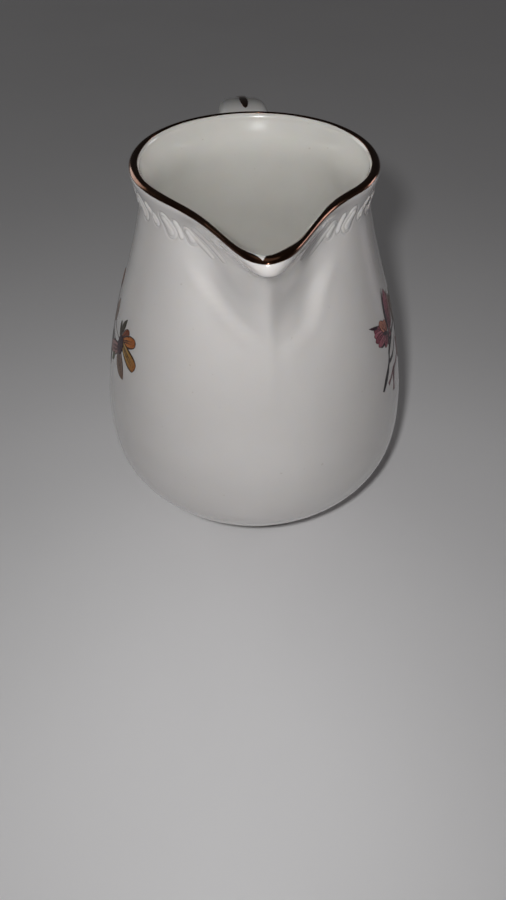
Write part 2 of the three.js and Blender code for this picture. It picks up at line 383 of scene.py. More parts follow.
def glaze_material(name, dull, bright, bottom_clouding=0.0):
    """White porcelain under clear glaze, bare and matt on the ring that it was fired on.

    The last argument is how strongly the bottom of the bowl is clouded darker and warmer.
    """
    n = Nodes(name)
    place = n.object_place()
    cloud = n.noise(place, 38, 3, 0.55)
    tone = n.ramp(cloud, [(0.3, dull), (0.7, bright)])

    # Iron specks.
    specks = n.between(n.noise(place, 860, 1), 0.775, 0.8)
    tone = n.mix(n.math("MULTIPLY", specks, 0.22, True), tone, colour(0.33, 0.26, 0.18))

    # A clouded darker, warmer tone towards the bowl's floor, from 55 mm up to the full clouding at 20
    # mm.
    clouded = n.between(n.noise(place, 55, 3, 0.5, 0.8), 0.42, 0.68)
    clouded = n.math("MULTIPLY", clouded, n.between(n.height(place), 0.055, 0.02, 0.0, bottom_clouding))
    tone = n.mix(clouded, tone, colour(0.6, 0.54, 0.43))

    # The bare ring, which ends about half a millimetre up.
    foot = n.between(n.height(place), 0.00075, 0.00045)
    foot_grain = n.noise(place, 2600, 3, 0.7)
    biscuit = n.ramp(foot_grain, [(0.3, colour(0.5, 0.46, 0.39)), (0.7, colour(0.68, 0.64, 0.57))])
    n.put(n.shader, "Base Color", n.mix(foot, tone, biscuit))

    gloss = n.between(n.noise(place, 60, 4, 0.6), 0.35, 0.7, 0.16, 0.24)
    matt = n.math("MULTIPLY", foot, 0.55)
    n.put(n.shader, "Roughness", n.math("ADD", gloss, matt, True))

    # Slow waves in the wall, the glaze's orange peel and the grain of the bare ring.
    normal = n.bump(n.noise(place, 90, 1, 0.4), 0.00006)
    normal = n.bump(n.noise(place, 420, 2, 0.4), 0.000008, normal)
    normal = n.bump(n.math("MULTIPLY", foot_grain, foot), 0.00006, normal)
    n.put(n.shader, "Normal", normal)

    n.put(n.shader, "IOR", 1.52)
    n.put(n.shader, "Coat Weight", 1.0)
    n.put(n.shader, "Coat Roughness", 0.03)
    n.put(n.shader, "Subsurface Weight", 0.12)
    n.put(n.shader, "Subsurface Radius", (1.0, 0.75, 0.5))
    n.put(n.shader, "Subsurface Scale", 0.0012)
    return n.material


def gold_material():
    """Fired gold, brushed on by hand: streaky, and darker or brighter from stroke to stroke. All its
    tones are far darker than gold, partly the old gilding's own brown and partly painted shade for the
    dark room that it reflects.
    """
    n = Nodes("fired_gold_aged_and_shaded")
    place = n.object_place()
    # These tones are painted dark: partly the gilding's own brown, partly painted shade for the dark
    # room it reflects.
    dark, middle, bright = (
        colour(0.13, 0.052, 0.028),
        colour(0.21, 0.09, 0.046),
        colour(0.34, 0.17, 0.085),
    )
    streaks = n.noise(place, 260, 4, 0.65, 0.6)
    n.put(n.shader, "Base Color", n.ramp(streaks, [(0.25, dark), (0.55, middle), (0.8, bright)]))
    n.put(n.shader, "Metallic", 1.0)
    rough = n.noise(place, 500, 3, 0.6)
    n.put(n.shader, "Roughness", n.between(rough, 0.3, 0.7, 0.11, 0.2))
    n.put(n.shader, "Coat Weight", 0.35)
    n.put(n.shader, "Coat Roughness", 0.1)
    n.put(n.shader, "Normal", n.bump(n.noise(place, 900, 2), 0.00001))
    return n.material


GLAZE = glaze_material("porcelain_glaze", colour(0.665, 0.64, 0.625), colour(0.7, 0.675, 0.66))
# The bowl's glaze is a brighter, warmer copy of the outside glaze: painted light for the light that the
# bowl gathers inside.
BRIGHTENED_BOWL_GLAZE = glaze_material("bowl_glaze_painted_light", colour(0.84, 0.815, 0.76), colour(0.9, 0.885, 0.84), 0.4)
# The handle's glaze is a brighter copy of the outside glaze: painted light for the room light that falls
# on its top.
BRIGHTENED_HANDLE_GLAZE = glaze_material("handle_glaze_painted_light", colour(0.74, 0.725, 0.7), colour(0.79, 0.775, 0.75))
GOLD = gold_material()


# ---------------------------------------------------------------------------------------------
# Body
# ---------------------------------------------------------------------------------------------

COLUMNS = 720
CROWDING = 0.45
LIP_STEPS = 19

# How finely the wall and the bowl are cut into rings. The bowl's are closest above its neck.
WALL_RINGS = 66
SCROLL_RINGS = 68
NECK_RINGS = 16
BOWL_RINGS = 48
BOWL_NECK = 88.0

FOOT_ROUNDING = 0.6
RECESS_ROUNDING = 1.6
BOWL_CORNER = 7.0
BOWL_CORNER_RISE = 3.0

# The low scroll relief under the lip. Each stroke is where it begins and ends, as (degrees from
# the spout, height), its width at both ends, how far it stands out and how far inside its edge a
# fine ring is cut, or 0.
SCROLL_RADIUS = 26.0
SCROLL_LOW = 89.0
SCROLL_STEPS = 25
SCROLL_SHOULDER = 0.9
SCROLL_GROOVE = 0.12
SCROLL_GROOVE_OFFSET = 0.12
SCROLL_GROOVE_SPREAD = 0.2
SCROLL_GROOVE_REACH = 0.6
SCROLL_RING = 0.55
SCROLL_RING_SPREAD = 0.2
SCROLL_FULL_RISE = 0.4
SPOUT_SCROLLS = [
    ((30, 95.9), (17.5, 91.3), 1.4, 0.9, 0.18, 0),
    ((31, 93.6), (22.5, 90.6), 1.2, 0.8, 0.16, 0),
    ((34.4, 94.5), (32.2, 92.9), 2.2, 2.6, 0.4, 0.5),
    ((40.4, 95.5), (38.3, 92.7), 1.5, 1.1, 0.32, 0),
]
REPEATED_SCROLLS = [
    ((1.4, 95.2), (-1.6, 93.1), 2.9, 3.3, 0.46, 0.6),
    ((10.2, 94.2), (9, 93.3), 1.8, 2, 0.4, 0.5),
    ((14.6, 96.1), (10.8, 94), 1.1, 1, 0.3, 0),
]
REPEATS = [46, 68, 90, 112, 134, 156]

# The folds that bound the spout below the lip, as (height, degrees from the spout) on each flank,
# and the keel between them. A fold is a low ridge with a hollow on its inner side.
FOLDS = {
    -1: [(71.5, -1.0), (77.4, -14.3), (82.2, -25.2), (87.5, -36.0)],
    1: [(71.0, 10.8), (74.6, 22.0), (78.2, 25.2), (82.0, 27.5), (87.5, 36.0)],
}
FOLD_RIDGE = 0.3
FOLD_RIDGE_SPREAD = 3.6
FOLD_HOLLOW = 0.28
FOLD_HOLLOW_OFFSET = 7.0
FOLD_HOLLOW_SPREAD = 4.5
FOLD_STARTS = (68, 75)
FOLD_ENDS = (84, 89)
KEEL_ANGLE = 3.0
KEEL_SPREAD = 3.2
KEEL_RIDGE = 0.3
KEEL_STARTS = (56, 70)
KEEL_ENDS = (86, 91)

# The lip is cast as a thicker, rounder bead at the spout's tip, with a shallow undercut below it.
TIP_SPREAD = math.radians(10)
TIP_ROLL = 0.65
TIP_FORWARD = 0.2
BEAD_BASE = 92.6
BEAD_FIRST_TURN = math.radians(-80)
BEAD_LAST_TURN = math.radians(-6)
BEAD_BLEND = 0.7

# To the right of the tip the lip is fuller still, inward and upward.
FILL_ANGLE = math.radians(8.5)
FILL_SPREAD = math.radians(6)
FILL_INWARD = 0.8
FILL_UPWARD = 0.4


def turning_angles():
    """Angles of the columns from -pi to pi, closer together at the spout."""
    even = np.linspace(-math.pi, math.pi, COLUMNS, endpoint=False)
    return even - CROWDING * np.sin(even)


def arc(centre, radius, start, end, steps):
    """Points (radius, height) on an arc, with angles in degrees from outward, up positive."""
    turn = np.radians(np.linspace(start, end, steps))
    return [(centre[0] + radius * math.cos(a), centre[1] + radius * math.sin(a)) for a in turn]


def foot_profile():
    """Points (radius, height) from under the middle, round the foot ring, to the wall."""
    points = [(r, RECESS_HEIGHT) for r in (0, 5, 10, 15, 18.5)]
    points += arc((18.9, RECESS_HEIGHT - RECESS_ROUNDING), RECESS_ROUNDING, 90, 30, 6)
    points += arc((FOOT_INSIDE + 0.75, FOOT_ROUNDING), FOOT_ROUNDING, 180, 270, 6)
    points += arc((FOOT_RADIUS - FOOT_ROUNDING, FOOT_ROUNDING), FOOT_ROUNDING, 270, 360, 7)
    points += [(FOOT_RADIUS + 0.03, 1.2), (FOOT_RADIUS + 0.1, 1.8)]
    return np.array(points, float)


def wall_profile():
    """Points (radius, height) up the outer wall, closest together under the lip."""
    low = np.linspace(FOOT_HEIGHT, SCROLL_LOW, WALL_RINGS)
    high = np.linspace(SCROLL_LOW, WALL_TOP, SCROLL_RINGS)[1:]
    heights = np.concatenate([low, high])
    return np.stack([outer_radius(heights), heights], -1)


def bowl_profile():
    """Points (radius, height) down the inner wall and over the bowl's floor to its middle."""
    base = FLOOR_HEIGHT + BOWL_CORNER_RISE
    neck = np.linspace(WALL_TOP, BOWL_NECK, NECK_RINGS)
    belly = np.linspace(BOWL_NECK, base, BOWL_RINGS)[1:]
    heights = np.concatenate([neck, belly])
    points = list(zip(inner_radius(heights), heights))
    middle = float(inner_radius(base)) - BOWL_CORNER
    for a in np.radians(np.linspace(0, 90, 10))[1:]:
        points.append((middle + BOWL_CORNER * math.cos(a), base - BOWL_CORNER_RISE * math.sin(a)))
    points += [(r, FLOOR_HEIGHT) for r in (14, 9, 4, 0)]
    return np.array(points, float)


def fold_rise(angles, heights):
    """How far the folds and the keel below the spout's lip stand out at each angle and height."""
    degrees = np.degrees(angles)
    within = smoothstep(heights, *FOLD_STARTS) * (1 - smoothstep(heights, *FOLD_ENDS))
    risen = np.zeros(np.broadcast(degrees, heights).shape)
    for side, line in FOLDS.items():
        at = np.interp(heights, [h for h, _ in line], [a for _, a in line])
        inside = side * (at - degrees)
        ridge = FOLD_RIDGE * swell(inside, 0, FOLD_RIDGE_SPREAD)
        hollow = FOLD_HOLLOW * swell(inside, FOLD_HOLLOW_OFFSET, FOLD_HOLLOW_SPREAD)
        risen += (ridge - hollow) * within
    along_keel = smoothstep(heights, *KEEL_STARTS) * (1 - smoothstep(heights, *KEEL_ENDS))
    return risen + KEEL_RIDGE * swell(degrees, KEEL_ANGLE, KEEL_SPREAD) * along_keel


def tip_share(angles):
    """1 at the spout's tip, and flatter there than a swell."""
    return np.exp(-(np.abs(angles / TIP_SPREAD) ** 3))


def fill_share(angles):
    return swell(angles, FILL_ANGLE, FILL_SPREAD)


def lip_section(angles, turn, lift=0.0):
    """The lip's radius and height at each turn about its middle, lift above its surface."""
    tip = tip_share(angles)
    size = LIP_RADIUS + TIP_ROLL * tip
    middle = HEIGHT - size
    radius = LIP_MIDDLE + TIP_FORWARD * tip + (size + lift) * np.cos(turn)
    height = middle + (size + lift) * np.sin(turn)
    lean = forward_draw(angles, height) - forward_draw(angles, middle)
    radius -= tip * lean + FILL_INWARD * fill_share(angles) * np.maximum(-np.cos(turn), 0)
    return radius, height + FILL_UPWARD * fill_share(angles) * np.maximum(np.sin(turn), 0)


def bead_wall(angles, radii, heights):
    """The outer wall's radii and heights once its top is drawn in under the bead at the tip."""
    share = (heights - BEAD_BASE) / (WALL_TOP - BEAD_BASE)
    turn = BEAD_FIRST_TURN + (BEAD_LAST_TURN - BEAD_FIRST_TURN) * np.clip(share, 0, 1)
    radius, height = lip_section(angles, turn)
    beaded = tip_share(angles) * smoothstep(share, 0, BEAD_BLEND)
    return radii + (radius - radii) * beaded, heights + (height - heights) * beaded


def thicken_bowl(angles, radii, heights):
    """The bowl's radii and heights once its top meets the bead and the fill."""
    near_lip = smoothstep(heights, BEAD_BASE, WALL_TOP)
    thicker = (TIP_FORWARD - TIP_ROLL) * tip_share(angles) - FILL_INWARD * fill_share(angles)
    return radii + thicker * near_lip, heights - TIP_ROLL * tip_share(angles) * near_lip


def scroll_strokes():
    """Every stroke of the relief on one flank."""
    strokes = list(SPOUT_SCROLLS)
    for turn in REPEATS:
        for begin, end, *shape in REPEATED_SCROLLS:
            moved = [(turn + at[0], at[1]) for at in (begin, end)]
            strokes.append((*moved, *shape))
    return strokes


def scroll_rise(angles, heights):
    """How far the relief stands out at each angle and height, with a faint groove round it."""
    across = np.abs(angles) * SCROLL_RADIUS
    raised = np.zeros(np.broadcast(angles, heights).shape)
    sunk = np.zeros(raised.shape)
    share = np.linspace(0, 1, SCROLL_STEPS)
    for begin, end, first_width, last_width, rise, ring in scroll_strokes():
        begin = np.array((math.radians(begin[0]) * SCROLL_RADIUS, begin[1]))
        end = np.array((math.radians(end[0]) * SCROLL_RADIUS, end[1]))
        line = begin + (end - begin) * share[:, None]
        half = (first_width + (last_width - first_width) * share) / 2
        reach = half.max() + SCROLL_GROOVE_REACH
        near = (across > line[:, 0].min() - reach) & (across < line[:, 0].max() + reach)
        near = near & (heights > line[:, 1].min() - reach) & (heights < line[:, 1].max() + reach)
        x = np.broadcast_to(across, raised.shape)[near][:, None]
        z = np.broadcast_to(heights, raised.shape)[near][:, None]
        beyond = (np.hypot(x - line[:, 0], z - line[:, 1]) - half).min(axis=1)
        inside = 1 + np.minimum(beyond, 0) / half.max()
        stroke = rise * (1 - np.clip(inside, 0, 1) ** 2) ** SCROLL_SHOULDER
        if ring:
            stroke *= 1 - SCROLL_RING * swell(beyond, -ring, SCROLL_RING_SPREAD)
        raised[near] = np.maximum(raised[near], stroke)
        groove = SCROLL_GROOVE * swell(beyond, SCROLL_GROOVE_OFFSET, SCROLL_GROOVE_SPREAD)
        groove = groove * (beyond > 0)
        sunk[near] = np.maximum(sunk[near], groove * rise / SCROLL_FULL_RISE)
    return np.where(raised > 0, raised, -sunk)


def build_body():
    angles = turning_angles()[None, :]
    foot, wall, bowl = foot_profile(), wall_profile(), bowl_profile()
    foot_radii, foot_heights = foot[:, :1], foot[:, 1:]
    wall_radii, wall_heights = wall[:, :1], wall[:, 1:]
    wall_radii = wall_radii + (scroll_rise(angles, wall_heights) + fold_rise(angles, wall_heights))
    wall_radii, wall_heights = bead_wall(angles, wall_radii, wall_heights)
    lip_radii, lip_heights = lip_section(angles, np.linspace(0, math.pi, LIP_STEPS)[:, None])
    bowl_radii, bowl_heights = thicken_bowl(angles, bowl[:, :1], bowl[:, 1:])
    rings = [
        on_round(foot_radii, angles, foot_heights),
        on_round(wall_radii, angles, wall_heights),
        on_round(lip_radii, angles, lip_heights),
        on_round(bowl_radii, angles, bowl_heights),
    ]
    points = draw_spout(np.concatenate(rings))
    faces = ring_faces(len(points), COLUMNS)
    crown = len(foot) + len(wall) + LIP_STEPS // 2
    in_bowl = (np.arange(len(faces)) // COLUMNS >= crown).astype(int)
    make_piece("jug_body", points, faces, [GLAZE, BRIGHTENED_BOWL_GLAZE], ["body"], in_bowl)


# ---------------------------------------------------------------------------------------------
# Rim gilding
# ---------------------------------------------------------------------------------------------

GILDING_STEPS = 17
GILDING_FILM = 0.05
GILDING_LIFT = 0.01

# Where the brushed band begins outside and ends inside, in degrees about the middle of the lip:
# 0 is outward, 90 is up and 180 is inward. Its inner edge leaves a notch at the spout's tip.
GILDING_OUTSIDE = 25
GILDING_INSIDE = 134
NOTCH_ANGLE = -2.4
NOTCH_DEPTH = 74
NOTCH_LEFT = 4.4
NOTCH_RIGHT = 2
FLANK_ANGLE = 24
FLANK_SPREAD = 12


def gilding_edges(angles):
    """The band's two edges in radians. Each term moves an edge by some degrees of turn."""
    degrees = np.degrees(angles)
    flank = swell(np.abs(degrees), FLANK_ANGLE, FLANK_SPREAD)
    right_of_tip = swell(degrees, 9, 7)
    left_of_tip = swell(degrees, -10, 8)
    notch_spread = np.where(degrees < NOTCH_ANGLE, NOTCH_LEFT, NOTCH_RIGHT)
    notch = np.exp(-np.abs(degrees - NOTCH_ANGLE) / notch_spread)
    at_handle = smoothstep(np.abs(degrees), 95, 140)
    outside = GILDING_OUTSIDE + 4 * flank + 14 * tip_share(angles)
    outside += 2 * np.sin(7 * angles) + 1.5 * np.sin(17 * angles + 1)
    inside = GILDING_INSIDE - 16 * flank + 18 * right_of_tip - 10 * left_of_tip
    inside = inside - NOTCH_DEPTH * notch - 16 * at_handle
    inside += 2 * np.sin(5 * angles + 2) + 1.5 * np.sin(13 * angles)
    return np.radians(outside), np.radians(inside)


def build_rim_gilding():
    angles = turning_angles()
    outside, inside = gilding_edges(angles)
    share = np.linspace(0, 1, GILDING_STEPS)[:, None]
    turn = outside + (inside - outside) * share
    skins = []
    for lift in (GILDING_FILM, GILDING_LIFT):
        across, up = lip_section(angles[None, :], turn, lift)
        skins.append(on_round(across, angles[None, :], up))
    over, under = skins
    points = draw_spout(np.concatenate([over, under[::-1], over[:1]]))
    faces = ring_faces(len(points), COLUMNS)
    make_piece("rim_gold", points, faces, [GOLD], ["rim_gilding"])


# ---------------------------------------------------------------------------------------------
# Handle, its luting slips and its gold stripe
# ---------------------------------------------------------------------------------------------

CURVE_STEPS = 60
HANDLE_RINGS = 150
HANDLE_SUNK = 0.4
RIDGE_SOFTNESS = 0.05
SECTION_SQUARENESS = 7
SECTION_EDGE = 0.42
WALL_SEARCH = 14.0
WALL_HALVINGS = 40
SECTION_STEPS = 64
SECTION_TURNS = np.linspace(0, 2 * math.pi, SECTION_STEPS, endpoint=False)
ACROSS = np.array([1.0, 0, 0])

# How far each slip reaches along the handle, as a share of its length, how deep it sits in the
# wall and above it, in millimetres, and its other outlines as scales of the handle's section.
SLIP_RINGS = 12
SLIP_REACH = 0.055
SLIP_SUNK = 0.35
SLIP_LIFT = 0.03
SLIP_SPREAD = 1.3
SLIP_OVER_HANDLE = 1.004
SLIP_CORE = 0.6

STRIPE_WIDTH = 2.1
STRIPE_RINGS = 160
STRIPE_COLUMNS = 9
STRIPE_TAPER = 20
STRIPE_END_WIDTH = 0.04
STRIPE_WAVER = 0.03
STRIPE_START = 0.072
STRIPE_END = 0.9
STRIPE_DRIFT = 0.35
STRIPE_DRIFT_FADE = 0.07
STRIPE_FILM = 0.08
STRIPE_LIFT = 0.01


def path_points(stations, steps):
    """Points of a centripetal curve through (y, z) stations, evenly spaced along it."""
    given = np.array([(0, y, z) for y, z in stations], float)
    before = 2 * given[0] - given[1]
    after = 2 * given[-1] - given[-2]
    knots = np.concatenate([[before], given, [after]])
    found = []
    for i in range(1, len(knots) - 2):
        p = knots[i - 1 : i + 3]
        gaps = np.linalg.norm(np.diff(p, axis=0), axis=1) ** 0.5
        leave = (p[1] - p[0]) / gaps[0] - (p[2] - p[0]) / (gaps[0] + gaps[1])
        leave = (leave + (p[2] - p[1]) / gaps[1]) * gaps[1]
        arrive = (p[2] - p[1]) / gaps[1] - (p[3] - p[1]) / (gaps[1] + gaps[2])
        arrive = (arrive + (p[3] - p[2]) / gaps[2]) * gaps[1]
        t = np.linspace(0, 1, CURVE_STEPS, endpoint=i == len(knots) - 3)[:, None]
        found.append(
            p[1] * (2 * t**3 - 3 * t**2 + 1)
            + p[2] * (3 * t**2 - 2 * t**3)
            + leave * (t**3 - 2 * t**2 + t)
            + arrive * (t**3 - t**2)
        )
    dense = np.concatenate(found)
    length = np.concatenate([[0], np.cumsum(np.linalg.norm(np.diff(dense, axis=0), axis=1))])
    even = np.linspace(0, length[-1], steps)
    return np.stack([np.interp(even, length, dense[:, i]) for i in range(3)], -1)


HANDLE_LINE = path_points(HANDLE_PATH, 400)


def handle_frame(t):
    """The handle's centre, direction, outward direction, width and depth at a share t of it."""
    at = (HANDLE_START + (HANDLE_END - HANDLE_START) * t) * (len(HANDLE_LINE) - 1)
    i = int(np.clip(at, 1, len(HANDLE_LINE) - 3))
    centre = HANDLE_LINE[i] + (HANDLE_LINE[i + 1] - HANDLE_LINE[i]) * (at - i)
    along = HANDLE_LINE[i + 2] - HANDLE_LINE[i - 1]
    along = along / np.linalg.norm(along)
    foot = math.exp(-(1 - t) / HANDLE_FLARE)
    width = HANDLE_WIDTH + (HANDLE_ROOT_WIDTH - HANDLE_WIDTH) * foot
    width += (HANDLE_TOP_WIDTH - HANDLE_WIDTH) * math.exp(-((t / HANDLE_TOP_FADE) ** 2))
    flare = math.exp(-t / HANDLE_FLARE) + foot
    depth = HANDLE_DEPTH + (HANDLE_ROOT_DEPTH - HANDLE_DEPTH) * flare
    return centre, along, np.cross(ACROSS, along), width, depth


def ridge_height(depth, side):
    """Two nearly flat slopes from a soft ridge, with rounded edges."""
    slope = 1 - RIDGE_FALL * np.hypot(side, RIDGE_SOFTNESS)
    edge = (1 - np.abs(side) ** SECTION_SQUARENESS) ** SECTION_EDGE
    return RIDGE_SHARE * depth * slope * edge


def handle_section(at, scale=1.0):
    """A ring of points round the handle at one of its frames."""
    centre, _, out, width, depth = at
    side = np.cos(SECTION_TURNS)
    rise = np.where(
        np.sin(SECTION_TURNS) > 0,
        ridge_height(depth, np.clip(side, -1, 1)),
        (1 - RIDGE_SHARE) * depth * np.sin(SECTION_TURNS),
    )
    return centre + (side * width * 0.5 * scale)[:, None] * ACROSS + (rise * scale)[:, None] * out


def turn_handle(points):
    """Turns points from the handle's own plane to where it was luted on."""
    c, s = math.cos(HANDLE_TURN), math.sin(HANDLE_TURN)
    turned = np.array(points, float)
    x, y = turned[..., 0].copy(), turned[..., 1].copy()
    turned[..., 0] = x * c - y * s
    turned[..., 1] = x * s + y * c
    return turned


def meet_wall(points, direction, gap):
    """Slides points along direction until they are a gap outside the round wall."""
    near = np.full(len(points), -WALL_SEARCH)
    far = np.full(len(points), WALL_SEARCH)
    for _ in range(WALL_HALVINGS):
        middle = (near + far) / 2
        p = points + middle[:, None] * direction
        outside = np.hypot(p[:, 0], p[:, 1]) - outer_radius(p[:, 2]) - gap > 0
        near = np.where(outside, middle, near)
        far = np.where(outside, far, middle)
    return points + near[:, None] * direction


def build_handle():
    frames = [handle_frame(t) for t in np.linspace(0.0, 1.0, HANDLE_RINGS)]
    first, last = frames[0], frames[-1]
    start = meet_wall(handle_section(first), -first[1], -HANDLE_SUNK)
    end = meet_wall(handle_section(last), last[1], -HANDLE_SUNK)
    rings = [start, *[handle_section(at) for at in frames[4:-4]], end]
    faces = tube_faces(len(rings), SECTION_STEPS)
    make_piece("jug_handle", turn_handle(rings), faces, [BRIGHTENED_HANDLE_GLAZE], ["handle"])


def build_slip(place):
    """The pad of clay at one root, wiped to a hollow fillet round the handle."""
    upper = place == "upper"
    root = handle_frame(0.0 if upper else 1.0)
    neck = handle_frame(SLIP_REACH if upper else 1 - SLIP_REACH)
    inward = -root[1] if upper else root[1]

    def on_wall(scale, gap):
        return meet_wall(handle_section(root, scale), inward, gap)

    edge = on_wall(SLIP_SPREAD, SLIP_LIFT)
    corner = on_wall(1.0, 0.0)
    on_handle = handle_section(neck, SLIP_OVER_HANDLE)
    rings = [on_wall(SLIP_CORE, -SLIP_SUNK), on_wall(SLIP_SPREAD, -SLIP_SUNK)]
    for t in np.linspace(0, 1, SLIP_RINGS):
        rings.append((1 - t) ** 2 * edge + 2 * t * (1 - t) * corner + t**2 * on_handle)
    rings.append(handle_section(neck, SLIP_CORE))
    faces = tube_faces(len(rings), SECTION_STEPS)
    node = f"handle_slip_{place}"
    make_piece(f"slip_{place}", turn_handle(rings), faces, [GLAZE], [node])


def build_handle_gilding():
    rings = []
    for share in np.linspace(0, 1, STRIPE_RINGS):
        t = STRIPE_START + (STRIPE_END - STRIPE_START) * share
        centre, _, out, width, depth = handle_frame(t)
        taper = max(1 - (2 * share - 1) ** STRIPE_TAPER, 0) ** 0.5
        half = max(taper, STRIPE_END_WIDTH) * STRIPE_WIDTH
        half = half * (0.5 + STRIPE_WAVER * math.sin(41 * share))
        drift = STRIPE_DRIFT * math.exp(-(((t - STRIPE_START) / STRIPE_DRIFT_FADE) ** 2))
        x = np.linspace(1, -1, STRIPE_COLUMNS) * half + drift
        rise = ridge_height(depth, x / (width / 2))
        over = centre + x[:, None] * ACROSS + (rise + STRIPE_FILM)[:, None] * out
        under = centre + x[::-1, None] * ACROSS + (rise[::-1] + STRIPE_LIFT)[:, None] * out
        rings.append(np.concatenate([over, under]))
    faces = tube_faces(len(rings), len(rings[0]))
    make_piece("handle_gold", turn_handle(rings), faces, [GOLD], ["handle_gilding"])


# ---------------------------------------------------------------------------------------------
# Printed flower sprays
# ---------------------------------------------------------------------------------------------

INK_LIFT = 0.02
INK_LAYER = 0.008
INK_FILM = 0.012
INK_MATT = 0.3
PETAL_ROWS = 26
PETAL_COLUMNS = 13
STEM_ROWS = 40
STEM_COLUMNS = 5
NARROWEST_PETAL = 0.06

DARK_BROWN = (0.035, 0.014, 0.012)
BLACK_BROWN = (0.02, 0.012, 0.014)

# Each ink: its colour at a petal's base, middle and tip, its veins and outline, and how closely
# its veins are drawn.
INK_COLOURS = {
    "orange": ((0.3, 0.11, 0.07), (0.46, 0.16, 0.035), (0.33, 0.1, 0.03), DARK_BROWN, 3),
    "ochre": ((0.42, 0.27, 0.1), (0.36, 0.2, 0.045), (0.3, 0.105, 0.03), DARK_BROWN, 3),
    "rust": ((0.12, 0.035, 0.02), (0.26, 0.075, 0.03), (0.16, 0.04, 0.018), DARK_BROWN, 2),
    "rosy_brown": ((0.22, 0.06, 0.05), (0.5, 0.2, 0.13), (0.4, 0.16, 0.11), (0.1, 0.025, 0.03), 2),
    "taupe": ((0.2, 0.13, 0.12), (0.25, 0.17, 0.12), (0.14, 0.07, 0.04), (0.06, 0.03, 0.025), 2),
    "dusty_rose": ((0.26, 0.12, 0.12), (0.36, 0.19, 0.18), (0.3, 0.15, 0.14), (0.08, 0.025, 0.028), 2),
    "maroon": ((0.13, 0.022, 0.035), (0.3, 0.085, 0.115), (0.2, 0.045, 0.07), (0.05, 0.01, 0.018), 2),
    "rose": ((0.22, 0.05, 0.075), (0.46, 0.17, 0.21), (0.3, 0.085, 0.12), (0.07, 0.012, 0.022), 2),
    "plum": ((0.03, 0.012, 0.02), (0.045, 0.016, 0.03), (0.06, 0.02, 0.035), BLACK_BROWN, 3),
    "leaf_green": ((0.07, 0.075, 0.03), (0.12, 0.14, 0.05), (0.09, 0.09, 0.04), (0.03, 0.028, 0.014), 4),
    "dark_green": ((0.04, 0.03, 0.018), (0.06, 0.05, 0.028), (0.04, 0.035, 0.02), BLACK_BROWN, 3),
    "pale_brown": ((0.25, 0.18, 0.15), (0.33, 0.25, 0.2), (0.25, 0.16, 0.12), (0.12, 0.075, 0.055), 2),
    "stem_black": ((0.014, 0.012, 0.013), (0.02, 0.017, 0.018), (0.016, 0.014, 0.015), BLACK_BROWN, 1),
    "twig_rose": ((0.14, 0.06, 0.07), (0.19, 0.085, 0.095), (0.24, 0.12, 0.13), (0.09, 0.035, 0.045), 1),
    "stem_grey": ((0.15, 0.12, 0.12), (0.2, 0.17, 0.16), (0.22, 0.18, 0.17), (0.12, 0.1, 0.1), 1),
}

